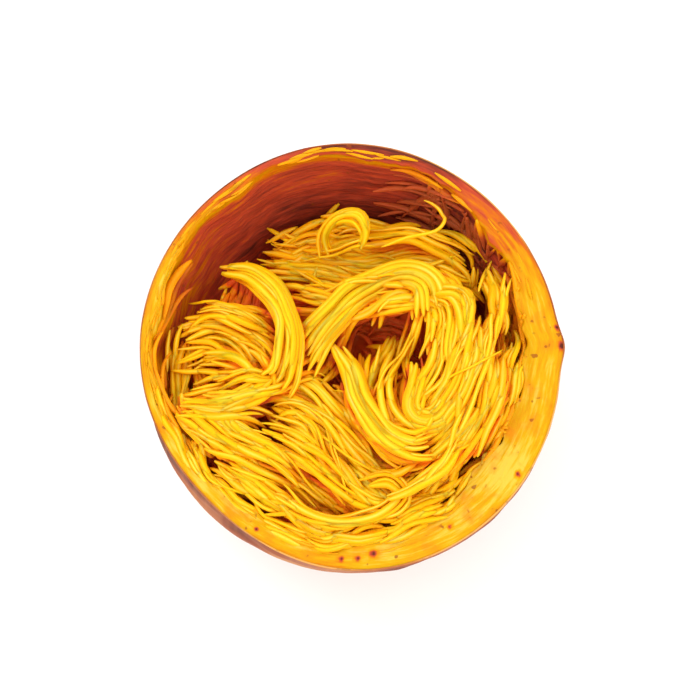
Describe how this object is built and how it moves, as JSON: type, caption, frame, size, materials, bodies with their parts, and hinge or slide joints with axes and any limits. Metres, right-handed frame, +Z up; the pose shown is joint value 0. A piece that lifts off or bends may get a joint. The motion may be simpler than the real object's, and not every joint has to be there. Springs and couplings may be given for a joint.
{
  "type": "halved spaghetti squash",
  "caption": "Roasted spaghetti squash cut across its middle and stood on its end as a bowl, its flesh raked into loose yellow strands that fill the shell.",
  "frame": {"origin": "middle of the flat spot on the rounded end that the squash stands on", "axes": "+Z up out of the cut; +X to the right in the picture; +Y away from the viewer of the picture"},
  "size_m": [0.1464, 0.1505, 0.1056],
  "materials": {
    "rind": "roasted rind, matt to satin, with the cut flesh on its inside",
    "flesh": "moist cooked flesh, softly glossy"
  },
  "bodies": {
    "root": {"shell": "rind", "strand_bed": "flesh", "bunch_right_wall": "flesh", "bunch_left_sweep": "flesh", "bunch_front_left": "flesh", "bunch_front_middle": "flesh", "bunch_left_heap": "flesh", "bunch_back": "flesh", "bunch_right_swirl": "flesh", "bunch_right_fall": "flesh", "ribbon_middle": "flesh", "bunch_arch": "flesh", "ribbon_left": "flesh", "loop_front": "flesh", "curl_back": "flesh", "loop_back": "flesh", "strand_front_right": "flesh"}
  },
  "joints": []
}
